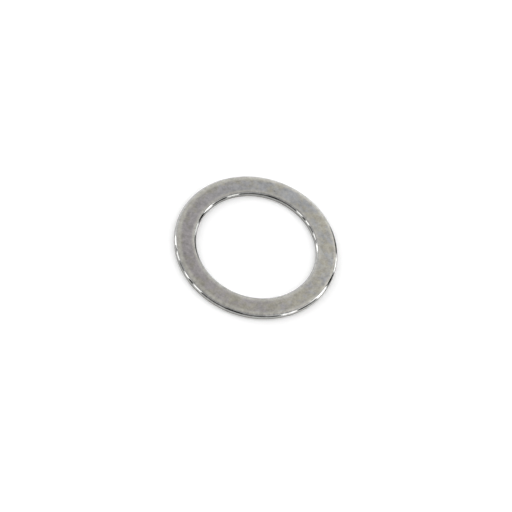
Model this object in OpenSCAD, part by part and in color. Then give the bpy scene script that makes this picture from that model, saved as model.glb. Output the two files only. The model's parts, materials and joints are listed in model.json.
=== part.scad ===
// Flat washer blanked from steel strip with a compound die, so that both
// edges of the upper face are rolled over and both walls are sheared the same way.

/* [Ring] */
// Outside diameter, at the burnished land of the rim
outer_d = 30; // [24:0.5:60]
// Width of the ring, from the land of the bore to the land of the rim
ring_w = 4; // [1:0.1:9]
// Thickness of the strip that the ring is blanked from
thickness = 1; // [0.6:0.1:3]

/* [Rolled edges] */
// Radius of the rolled corner, where the strip bent over the edge of the tool
roll_r = 0.45; // [0.2:0.05:0.6]
// Radius of the shallow shoulder between the flat face and the rolled corner
shoulder_r = 4; // [2:0.5:10]
// Slope at which the shoulder runs into the rolled corner, in degrees
shoulder_slope = 10; // [4:1:16]

/* [Sheared walls] */
// Height of the torn band below the burnished land
tear_h = 0.3; // [0.15:0.05:0.5]
// Distance by which the torn band has drawn back from the land at the lower face
tear_in = 0.05; // [0.02:0.01:0.1]
// Width of the bevel that tumbling left on the lower edge
bevel_w = 0.08; // [0.04:0.01:0.15]

/* [Hidden] */
$fn = 144;

// Bore diameter, at the burnished land of the hole
bore_d = outer_d - 2 * ring_w;

// The section is the same on both sides of its middle, at mid_r from the axis
mid_r = (outer_d + bore_d) / 4;
half_w = ring_w / 2;

// Largest share of the wall and of the face that the rolled corner may take
roll_share = 0.5;
// Largest share of the straight wall that the torn band may take
tear_share = 0.8;
// Largest share of the torn band that the bevel may take
bevel_share = 0.5;

// Rolled corner and shoulder that the wall and the face have room for
corner_r = min(roll_r, roll_share * thickness, roll_share * half_w);
slope = min(shoulder_slope, asin((half_w - corner_r) / max(shoulder_r, half_w)));

// The rolled corner stands this far proud of the shoulder, so that the two arcs cross
crossing = 0.0004;
centres_apart = shoulder_r - corner_r + crossing;

// Centres of the two arcs, measured from the middle of the section and from the lower face
corner_u = half_w - corner_r;
shoulder_u = corner_u - centres_apart * sin(slope);
shoulder_z = thickness - shoulder_r;
corner_z = shoulder_z + centres_apart * cos(slope);

// Point on the rolled corner where the shoulder runs into it
join_u = corner_u + corner_r * sin(slope);

// Torn band and bevel that the straight wall below the rolled corner has room for
band_h = min(tear_h, tear_share * corner_z);
edge_w = min(bevel_w, bevel_share * band_h);

// What a disc leaves of the metal above and outside the point (u, corner_z)
module outside_disc(u, centre, r) {
    difference() {
        translate([u, corner_z]) square([half_w, thickness]);
        translate(centre) circle(r = r);
    }
}

// Section from its middle to one wall as the die sheared it, with the lower edge tumbled
module sheared_half() {
    edge_u = half_w - tear_in * (1 - edge_w / band_h);
    polygon([
        [0, 0],
        [edge_u - edge_w, 0],
        [edge_u, edge_w],
        [half_w, band_h],
        [half_w, thickness],
        [0, thickness]
    ]);
}

// The same half with its upper edge rolled over
module rolled_half() {
    difference() {
        sheared_half();
        outside_disc(shoulder_u, [shoulder_u, shoulder_z], shoulder_r);
        outside_disc(join_u, [corner_u, corner_z], corner_r);
    }
}

module washer() {
    color("silver")
        rotate_extrude()
            translate([mid_r, 0]) {
                rolled_half();
                mirror([1, 0]) rolled_half();
            }
}

washer();
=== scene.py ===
import json
from math import cos, pi, radians, sin, tan

import bmesh
import bpy
from mathutils import Matrix, Quaternion, Vector


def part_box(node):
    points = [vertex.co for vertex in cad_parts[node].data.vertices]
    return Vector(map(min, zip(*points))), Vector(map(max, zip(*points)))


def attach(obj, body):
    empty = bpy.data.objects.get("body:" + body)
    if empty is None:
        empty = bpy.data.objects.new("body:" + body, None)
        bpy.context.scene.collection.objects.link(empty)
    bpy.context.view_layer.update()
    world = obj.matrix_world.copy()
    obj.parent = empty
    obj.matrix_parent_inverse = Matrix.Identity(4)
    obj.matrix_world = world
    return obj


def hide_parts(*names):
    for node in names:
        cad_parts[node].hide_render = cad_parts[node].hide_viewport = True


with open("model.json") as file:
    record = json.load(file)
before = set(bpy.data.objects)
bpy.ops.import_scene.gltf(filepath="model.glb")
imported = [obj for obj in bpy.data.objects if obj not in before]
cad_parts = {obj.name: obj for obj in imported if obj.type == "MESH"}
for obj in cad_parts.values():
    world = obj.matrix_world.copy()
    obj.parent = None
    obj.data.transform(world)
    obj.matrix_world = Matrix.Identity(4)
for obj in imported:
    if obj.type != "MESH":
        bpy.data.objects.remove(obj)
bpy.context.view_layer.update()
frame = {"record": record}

# Washer: a flat ring blanked from steel strip in one stroke of a compound die.
# The die rolled both edges of the upper face over, burnished the upper part of
# both walls and tore the rest. Tumbling then took the burrs off the lower edges.
MM = 0.001
scene = bpy.context.scene
bore = next(mount for mount in frame["record"]["mounts"] if mount["name"] == "bore")
bore_r = bore["dims"]["r_mm"]
corner_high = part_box("washer")[1] / MM
rim_r = round(corner_high.x, 2)
thickness = round(corner_high.z, 2)
mid_r = (rim_r + bore_r) / 2
half_w = (rim_r - bore_r) / 2

roll_r = 0.45
shoulder_r = 4.0
shoulder_slope = radians(10)
tear_h = 0.3
tear_in = 0.05
bevel_w = 0.08
spin_steps = 540
shoulder_segments = 6
roll_segments = 14
weld_gap = 0.001
sharp_angle = radians(8)

# Tangent lengths of the two arcs, and the corners of the section that they round
shoulder_run = shoulder_r * tan(shoulder_slope / 2)
roll_run = roll_r * tan((radians(90) - shoulder_slope) / 2)
corner_drop = (shoulder_run + roll_run) * sin(shoulder_slope)
shoulder_u = half_w - (shoulder_run + roll_run) * cos(shoulder_slope)
edge_u = half_w - tear_in * (1 - bevel_w / tear_h)
half_section = [
    (edge_u - bevel_w, 0),
    (edge_u, bevel_w),
    (half_w, tear_h),
    (half_w, thickness - corner_drop),
    (shoulder_u, thickness),
]
outline = [(mid_r + u, z) for u, z in half_section]
outline += [(mid_r - u, z) for u, z in reversed(half_section)]

mesh = bmesh.new()
ring = [mesh.verts.new((r * MM, 0, z * MM)) for r, z in outline]
for here, there in zip(ring, ring[1:] + ring[:1]):
    mesh.edges.new((here, there))
roll_corners = [ring[3], ring[6]]
shoulder_corners = [ring[4], ring[5]]
for corners, run, segments in (
    (roll_corners, roll_run, roll_segments),
    (shoulder_corners, shoulder_run, shoulder_segments),
):
    bmesh.ops.bevel(
        mesh, geom=corners, offset=run * MM, offset_type="OFFSET", affect="VERTICES",
        segments=segments, profile=0.5, material=-1,
    )
bmesh.ops.spin(
    mesh, geom=mesh.verts[:] + mesh.edges[:], cent=(0, 0, 0), axis=(0, 0, 1),
    angle=radians(360), steps=spin_steps, use_merge=True,
)
bmesh.ops.remove_doubles(mesh, verts=mesh.verts, dist=weld_gap * MM)
bmesh.ops.recalc_face_normals(mesh, faces=mesh.faces)
for face in mesh.faces:
    face.smooth = True
for edge in mesh.edges:
    edge.smooth = edge.calc_face_angle(0) < sharp_angle
washer_mesh = bpy.data.meshes.new("washer_ring")
mesh.to_mesh(washer_mesh)
mesh.free()
washer = bpy.data.objects.new("washer_ring", washer_mesh)
scene.collection.objects.link(washer)


def linear(hex_colour):
    """An sRGB hex colour as linear RGBA."""
    channels = [int(hex_colour[i:i + 2], 16) / 255 for i in (1, 3, 5)]
    return [c / 12.92 if c <= 0.04045 else ((c + 0.055) / 1.055) ** 2.4 for c in channels] + [1]


def add(tree, kind, links=None, **settings):
    """Adds a node with its settings, sets or links its inputs, and gives its outputs."""
    node = tree.nodes.new("ShaderNode" + kind)
    for name, value in settings.items():
        setattr(node, name, value)
    for socket, value in (links or {}).items():
        if isinstance(value, bpy.types.NodeSocket):
            tree.links.new(value, node.inputs[socket])
        else:
            node.inputs[socket].default_value = value
    return node.outputs


def towards(azimuth, elevation=0, distance=1):
    """The point in that direction from the middle of the washer, with angles in degrees."""
    a, e = radians(azimuth), radians(elevation)
    return Vector((cos(a) * cos(e), sin(a) * cos(e), sin(e))) * distance


# Bright zinc plating with a clear passivation: a satin grey face with faint blue
# and straw patches, where the film is thinner or thicker, and edges that the die
# burnished before plating, which mirror what stands around them.
zinc = bpy.data.materials.new("bright_zinc_plating")
zinc.use_nodes = True
nodes = zinc.node_tree
nodes.nodes.clear()
place = add(nodes, "TexCoord")["Object"]
place_mm = add(nodes, "VectorMath", {0: place, "Scale": 1 / MM}, operation="SCALE")[0]
flat_mm = add(nodes, "VectorMath", {0: place_mm, 1: (1, 1, 0)}, operation="MULTIPLY")[0]
height_mm = add(nodes, "SeparateXYZ", {0: place_mm})["Z"]
radius = add(nodes, "VectorMath", {0: flat_mm}, operation="LENGTH")["Value"]
across = add(nodes, "Math", {0: radius, 1: mid_r}, operation="SUBTRACT")[0]
from_middle = add(nodes, "Math", {0: across}, operation="ABSOLUTE")[0]

# The plating isn't the same all round, and some light and shade is painted by side, so these give how far
# a point lies towards a side, by azimuth
sides = {"bright": 20, "thin_film": 180, "straw": -10, "pink": 230, "sheen_tear": 145}
side = {
    name: add(nodes, "VectorMath", {0: flat_mm, 1: towards(azimuth)}, operation="DOT_PRODUCT")["Value"]
    for name, azimuth in sides.items()
}
whole_ring = {"From Min": -mid_r, "From Max": mid_r}

# Shoulders, polished and lighter with a painted sheen for the light that their curve reflects: both fade
# into the face, the outer one further out on the side that is painted lit
sheen_start = shoulder_u - 0.5
sheen_end = shoulder_u + 0.1
sheen_shift = 0.2
inner_sheen_start = 0.4 - shoulder_u
corner_u = half_w - roll_r
uneven = add(
    nodes, "MapRange",
    {"Value": side["bright"], **whole_ring, "To Min": -sheen_shift, "To Max": sheen_shift},
)[0]
across_uneven = add(nodes, "Math", {0: across, 1: uneven}, operation="SUBTRACT")[0]
on_shoulder = add(
    nodes, "MapRange", {"Value": across_uneven, "From Min": sheen_start, "From Max": sheen_end},
    interpolation_type="SMOOTHSTEP",
)[0]
on_inner_shoulder = add(
    nodes, "MapRange", {"Value": across, "From Min": inner_sheen_start, "From Max": -corner_u},
    interpolation_type="SMOOTHSTEP",
)[0]

# Rolled corners with the burnished lands, and the torn bands below them
corner_start = corner_u - 0.05
corner_end = corner_u + 0.07
tear_fade = 0.02
on_corner = add(
    nodes, "MapRange", {"Value": from_middle, "From Min": corner_start, "From Max": corner_end},
    interpolation_type="SMOOTHSTEP",
)[0]
below_land = add(
    nodes, "MapRange",
    {"Value": height_mm, "From Min": tear_h + tear_fade, "From Max": tear_h - tear_fade},
    interpolation_type="SMOOTHSTEP",
)[0]
on_tear = add(nodes, "Math", {0: below_land, 1: on_corner}, operation="MULTIPLY")[0]

# Passivation film: noise, thinner towards the bore on one side of the ring and thicker on the straw side
film_patch_mm = 1.8
thinned_from = -0.9
thinned_to = 1.1
change_at_bore = -0.1
change_at_rim = 0.07
thin_side_start = -3
thin_side_end = 6
straw_least = -0.07
straw_most = 0.05
film = add(
    nodes, "TexNoise", {"Vector": flat_mm, "Scale": 1 / film_patch_mm, "Detail": 4.0, "Roughness": 0.6},
)["Fac"]
inward = add(
    nodes, "MapRange",
    {
        "Value": across, "From Min": thinned_from, "From Max": thinned_to,
        "To Min": change_at_bore, "To Max": change_at_rim,
    },
)[0]
on_thin_side = add(
    nodes, "MapRange",
    {"Value": side["thin_film"], "From Min": thin_side_start, "From Max": thin_side_end},
    interpolation_type="SMOOTHSTEP",
)[0]
thinned = add(nodes, "Math", {0: inward, 1: on_thin_side}, operation="MULTIPLY")[0]
film = add(nodes, "Math", {0: film, 1: thinned}, operation="ADD")[0]
sideways = add(
    nodes, "MapRange",
    {"Value": side["straw"], **whole_ring, "To Min": straw_least, "To Max": straw_most},
)[0]
film = add(nodes, "Math", {0: film, 1: sideways}, operation="ADD")[0]

# Patches where the film differs: azimuth in degrees, radius, size and change of the film
film_patches = [
    (72.0, 13.0, 4.5, -0.09),
    (268.0, 12.9, 2.4, 0.12),
    (293.0, 12.9, 2.2, -0.1),
]
for azimuth, patch_r, size, change in film_patches:
    patch = towards(azimuth, distance=patch_r)
    away = add(nodes, "VectorMath", {0: flat_mm, 1: patch}, operation="DISTANCE")["Value"]
    shift = add(
        nodes, "MapRange",
        {"Value": away, "From Min": 0, "From Max": size, "To Min": change, "To Max": 0},
        interpolation_type="SMOOTHSTEP",
    )[0]
    film = add(nodes, "Math", {0: film, 1: shift}, operation="ADD")[0]

# Colours of the film, from thin to thick, and of the edges, where the metal is brighter or torn. The
# bore's land and torn band are painted darker than the rim's, as painted shade inside the bore, and one
# side of the bore's torn band is painted lighter, as a painted reflection of the lit floor.
blue_film = linear("#939496")
pink_film = linear("#989495")
straw_film = linear("#98958B")
# Shoulder colours: a polish tint with a painted sheen on top
shoulder_sheen_rim = linear("#B0AEA7")
shoulder_sheen_bore = linear("#ABA9A3")
rim_land = linear("#ADADAB")
# The bore's land is painted darker than the rim's: painted shade inside the bore
shaded_bore_land = linear("#A0A09E")
rim_tear = linear("#97948C")
# The bore's torn band: painted shade, and on one side a painted reflection of the lit floor
shaded_bore_tear = linear("#6C6964")
sheen_bore_tear = linear("#9C9993")
film_thin = 0.36
film_thick = 0.64
rim_side_start = -0.1
rim_side_end = 0.1
sheen_tear_start = 2
sheen_tear_end = 9
pink_share = add(
    nodes, "MapRange", {"Value": side["pink"], **whole_ring}, interpolation_type="SMOOTHSTEP",
)[0]
film_share = add(
    nodes, "MapRange", {"Value": film, "From Min": film_thin, "From Max": film_thick},
    interpolation_type="SMOOTHSTEP",
)[0]
rim_share = add(
    nodes, "MapRange", {"Value": across, "From Min": rim_side_start, "From Max": rim_side_end},
    interpolation_type="SMOOTHSTEP",
)[0]
# Painted reflection: the side of the bore's torn band that is painted lighter
sheen_tear_share = add(
    nodes, "MapRange",
    {"Value": side["sheen_tear"], "From Min": sheen_tear_start, "From Max": sheen_tear_end},
    interpolation_type="SMOOTHSTEP",
)[0]

# A colour mix takes its sockets by number, because each of their names stands for several
mix_a, mix_b, mixed = 6, 7, 2
colour = add(
    nodes, "Mix", {"Factor": pink_share, mix_a: blue_film, mix_b: pink_film}, data_type="RGBA",
)[mixed]
land = add(nodes, "Mix", {"Factor": rim_share, mix_a: shaded_bore_land, mix_b: rim_land}, data_type="RGBA")[mixed]
bore_tear = add(
    nodes, "Mix", {"Factor": sheen_tear_share, mix_a: shaded_bore_tear, mix_b: sheen_bore_tear},
    data_type="RGBA",
)[mixed]
tear = add(nodes, "Mix", {"Factor": rim_share, mix_a: bore_tear, mix_b: rim_tear}, data_type="RGBA")[mixed]
for share, above in (
    (film_share, straw_film),
    (on_shoulder, shoulder_sheen_rim),
    (on_inner_shoulder, shoulder_sheen_bore),
    (on_corner, land),
    (on_tear, tear),
):
    colour = add(nodes, "Mix", {"Factor": share, mix_a: colour, mix_b: above}, data_type="RGBA")[mixed]

# Satin grain that tumbling left: finer than this on the real face, drawn as coarse as it needs to show.
# One side of the ring is painted a little lighter than the other: painted light, as if more light fell on
# that side.
grain_mm = 0.68
grain_range = {"From Min": 0.3, "From Max": 0.7}
grain_contrast = 0.23
painted_light_contrast = 0.1
grain = add(
    nodes, "TexNoise", {"Vector": place_mm, "Scale": 1 / grain_mm, "Detail": 3.0, "Roughness": 0.7},
)["Fac"]
gain = add(
    nodes, "MapRange",
    {"Value": grain, **grain_range, "To Min": 1 - grain_contrast, "To Max": 1 + grain_contrast},
)[0]
# Painted light: the face is lighter towards the lit side and darker away from it
lit_side_gain = add(
    nodes, "MapRange",
    {"Value": side["bright"], **whole_ring, "To Min": 1 - painted_light_contrast, "To Max": 1 + painted_light_contrast},
)[0]
gain = add(nodes, "Math", {0: gain, 1: lit_side_gain}, operation="MULTIPLY")[0]

# A pit, specks and dull patches on the upper face: azimuth in degrees, radius, size and depth of tone
marks = [
    (91.0, 12.45, 0.3, 0.4),
    (210.8, 13.4, 0.5, 0.2),
    (178.1, 12.4, 0.25, 0.2),
    (185.4, 13.8, 0.25, 0.2),
    (176.2, 13.6, 0.3, 0.15),
    (62.0, 12.9, 2.5, 0.09),
    (292.0, 13.2, 2.5, 0.08),
    (218.0, 12.7, 3.5, 0.07),
]
for azimuth, mark_r, size, tone in marks:
    mark = towards(azimuth, distance=mark_r)
    away = add(nodes, "VectorMath", {0: flat_mm, 1: mark}, operation="DISTANCE")["Value"]
    shade = add(
        nodes, "MapRange",
        {"Value": away, "From Min": 0, "From Max": size, "To Min": 1 - tone, "To Max": 1},
        interpolation_type="SMOOTHSTEP",
    )[0]
    gain = add(nodes, "Math", {0: gain, 1: shade}, operation="MULTIPLY")[0]
# The colour takes the grain, the marks and the painted light of the lit side
worn_and_lit_colour = add(nodes, "HueSaturation", {"Value": gain, "Color": colour})[0]

# Shear streaks down the torn bands, where the metal broke away
streak_mm = (0.15, 0.15, 1.5)
streak_depth_mm = 0.04
per_streak = [1 / length for length in streak_mm]
streak_place = add(nodes, "VectorMath", {0: place_mm, 1: per_streak}, operation="MULTIPLY")[0]
streaks = add(nodes, "TexNoise", {"Vector": streak_place, "Scale": 1.0, "Detail": 2.0})["Fac"]
torn_height = add(nodes, "Math", {0: streaks, 1: on_tear}, operation="MULTIPLY")[0]
torn = add(nodes, "Bump", {"Height": torn_height, "Strength": 1.0, "Distance": streak_depth_mm * MM})[0]

# Roughness: satin on the face, nearly a mirror on the corners and lands, coarse on the torn bands
satin_low = 0.3
satin_high = 0.38
land_roughness = 0.08
tear_roughness = 0.45
roughness = add(
    nodes, "MapRange", {"Value": grain, **grain_range, "To Min": satin_low, "To Max": satin_high},
)[0]
for share, above in ((on_corner, land_roughness), (on_tear, tear_roughness)):
    roughness = add(nodes, "Mix", {"Factor": share, "A": roughness, "B": above}, data_type="FLOAT")[0]
surface = add(
    nodes, "BsdfPrincipled",
    {"Base Color": worn_and_lit_colour, "Metallic": 1.0, "Roughness": roughness, "Normal": torn},
)["BSDF"]
add(nodes, "OutputMaterial", {"Surface": surface})
washer_mesh.materials.append(zinc)
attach(washer, "root")
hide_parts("washer")

# Floor: the white table that the washer lies on, matt and without a pattern. A
# little light of its own, seen by the camera and in the metal, keeps it white.
floor_r = 0.45
floor_gap = 0.01 * MM
floor_lift = 0.15
floor_mesh = bpy.data.meshes.new("floor")
mesh = bmesh.new()
bmesh.ops.create_circle(mesh, cap_ends=True, radius=floor_r, segments=64)
bmesh.ops.translate(mesh, verts=mesh.verts, vec=(0, 0, -floor_gap))
mesh.to_mesh(floor_mesh)
mesh.free()
floor = bpy.data.objects.new("floor", floor_mesh)
scene.collection.objects.link(floor)
table = bpy.data.materials.new("white_table")
table.use_nodes = True
nodes = table.node_tree
nodes.nodes.clear()
path = add(nodes, "LightPath")
seen = path["Is Camera Ray"]
for ray in ("Is Glossy Ray", "Is Transmission Ray"):
    seen = add(nodes, "Math", {0: seen, 1: path[ray]}, operation="MAXIMUM")[0]
lift = add(nodes, "Math", {0: seen, 1: floor_lift}, operation="MULTIPLY")[0]
paint = add(nodes, "BsdfDiffuse", {"Color": linear("#F2F2F2")})[0]
glow = add(nodes, "Emission", {"Strength": lift})[0]
both = add(nodes, "AddShader", {0: paint, 1: glow})[0]
add(nodes, "OutputMaterial", {"Surface": both})
floor_mesh.materials.append(table)

# Light: a white tent all round, with dark cloth where the camera looks in and
# beside it, tall softboxes in front of the cloth, and a faint one at the back.
tent_low = 1.35
tent_high = 0.85
tent_fade_start = 0.4
tent_top_start = 0.86
tent_top_end = 0.97
tent_top_share = 0.8
world = bpy.data.worlds.new("tent")
world.use_nodes = True
scene.world = world
nodes = world.node_tree
nodes.nodes.clear()
direction = add(nodes, "TexCoord")["Generated"]
upward = add(nodes, "SeparateXYZ", {0: direction})["Z"]
tent_light = add(
    nodes, "MapRange",
    {"Value": upward, "From Min": tent_fade_start, "From Max": 1, "To Min": tent_low, "To Max": tent_high},
)[0]
tent_top = add(
    nodes, "MapRange",
    {
        "Value": upward, "From Min": tent_top_start, "From Max": tent_top_end,
        "To Min": 1, "To Max": tent_top_share,
    },
    interpolation_type="SMOOTHSTEP",
)[0]
tent_light = add(nodes, "Math", {0: tent_light, 1: tent_top}, operation="MULTIPLY")[0]
tent_white = add(nodes, "Background", {"Color": linear("#FFFFFF"), "Strength": tent_light})[0]
add(nodes, "OutputWorld", {"Surface": tent_white})
tent_r = 2.0
box_distance = 0.5


def cloth(name, hex_colour):
    """A matt cloth of that colour."""
    material = bpy.data.materials.new(name)
    material.use_nodes = True
    material.node_tree.nodes.clear()
    weave = add(material.node_tree, "BsdfDiffuse", {"Color": linear(hex_colour)})[0]
    add(material.node_tree, "OutputMaterial", {"Surface": weave})
    return material


def cloth_panel(name, material, azimuths, elevations, rows=16, columns=32):
    """A panel of the tent between two azimuths and two elevations."""
    mesh = bmesh.new()
    foot = mesh.verts.new(towards(azimuths[0], elevations[0], tent_r))
    a = radians(azimuths[0])
    bmesh.ops.spin(
        mesh, geom=[foot], axis=(sin(a), -cos(a), 0), cent=(0, 0, 0), steps=rows,
        angle=radians(elevations[1] - elevations[0]),
    )
    bmesh.ops.spin(
        mesh, geom=mesh.verts[:] + mesh.edges[:], axis=(0, 0, 1), cent=(0, 0, 0), steps=columns,
        angle=radians(azimuths[1] - azimuths[0]),
    )
    panel_mesh = bpy.data.meshes.new(name)
    mesh.to_mesh(panel_mesh)
    mesh.free()
    panel_mesh.materials.append(material)
    panel = bpy.data.objects.new(name, panel_mesh)
    panel.visible_camera = False
    scene.collection.objects.link(panel)


def softbox(name, azimuth, elevation, lean, width, height, radiance):
    """An area lamp that faces the washer and leans to one side, with its size in degrees."""
    lamp = bpy.data.lights.new(name, "AREA")
    lamp.shape = "RECTANGLE"
    lamp.size = radians(width) * box_distance
    lamp.size_y = radians(height) * box_distance
    lamp.energy = radiance * pi * lamp.size * lamp.size_y
    box = bpy.data.objects.new(name, lamp)
    box.location = towards(azimuth, elevation, box_distance)
    box.rotation_mode = "QUATERNION"
    facing = box.location.to_track_quat("Z", "Y")
    box.rotation_quaternion = facing @ Quaternion((0, 0, 1), -radians(lean))
    box.visible_camera = False
    scene.collection.objects.link(box)


black = cloth("black_cloth", "#282828")
dark_grey = cloth("dark_grey_cloth", "#747474")
grey = cloth("grey_cloth", "#A0A0A0")
cloth_panel("tent_left", grey, (165, 198), (0, 50))
cloth_panel("tent_corner", black, (198, 233), (0, 50))
cloth_panel("tent_front_left", dark_grey, (233, 260), (0, 56))
cloth_panel("tent_front", black, (260, 282), (0, 48))
cloth_panel("tent_front_top", dark_grey, (260, 282), (48, 68))
cloth_panel("tent_front_right", dark_grey, (282, 311), (0, 52))
cloth_panel("tent_front_corner", black, (-49, 0), (0, 40))
# The cloth at the right leans back in steps: lower and upper elevation, first and last azimuth
for low, high, first, last in (
    (0, 14, 0, 64), (14, 24, 0, 66), (24, 33, 0, 68), (33, 45, 17, 69), (45, 53, 32, 60),
):
    cloth_panel(f"tent_right_{low}", black, (first, last), (low, high))
softbox("box_left_a", 164.5, 24, -16, 8, 45, 3.6)
softbox("box_left_b", 180, 26, -16, 8.5, 44, 2.7)
softbox("box_left_c", 203.5, 25.5, -11, 8, 41, 3.3)
softbox("box_left_d", 222, 27, -9, 11.5, 49, 2.8)
softbox("box_right_a", 332.5, 22.5, 9, 17, 41, 2.8)
softbox("box_right_b", 18, 31.5, 25, 11.5, 62, 3.7)
softbox("box_right_c", 44.5, 26, 21, 10.5, 43, 2.9)
softbox("box_back", 76, 50, 0, 14, 20, 0.45)

# Camera: the viewpoint of the photograph, rolled clockwise, with the ring a
# little above the middle of the frame.
camera_elevation = 56.37
camera_roll = 19.5
camera_distance = 375.0
picture_px = 512
px_per_mm = 5.533
ring_x_px = 255.79
ring_y_px = 247.44
lens = bpy.data.cameras.new("camera")
lens.sensor_width = 36.0
lens.lens = lens.sensor_width * camera_distance * px_per_mm / picture_px
lens.clip_start = 0.01
lens.clip_end = 100.0
camera = bpy.data.objects.new("camera", lens)
scene.collection.objects.link(camera)
scene.camera = camera
aim_x = (picture_px / 2 - ring_x_px) / px_per_mm
aim_y = (ring_y_px - picture_px / 2) / px_per_mm
tilt = Matrix.Rotation(radians(90 - camera_elevation), 4, "X")
roll = Matrix.Rotation(radians(camera_roll), 4, "Z")
back_off = Matrix.Translation(Vector((aim_x, aim_y, camera_distance)) * MM)
camera.matrix_world = tilt @ roll @ back_off

scene.view_settings.view_transform = "Standard"
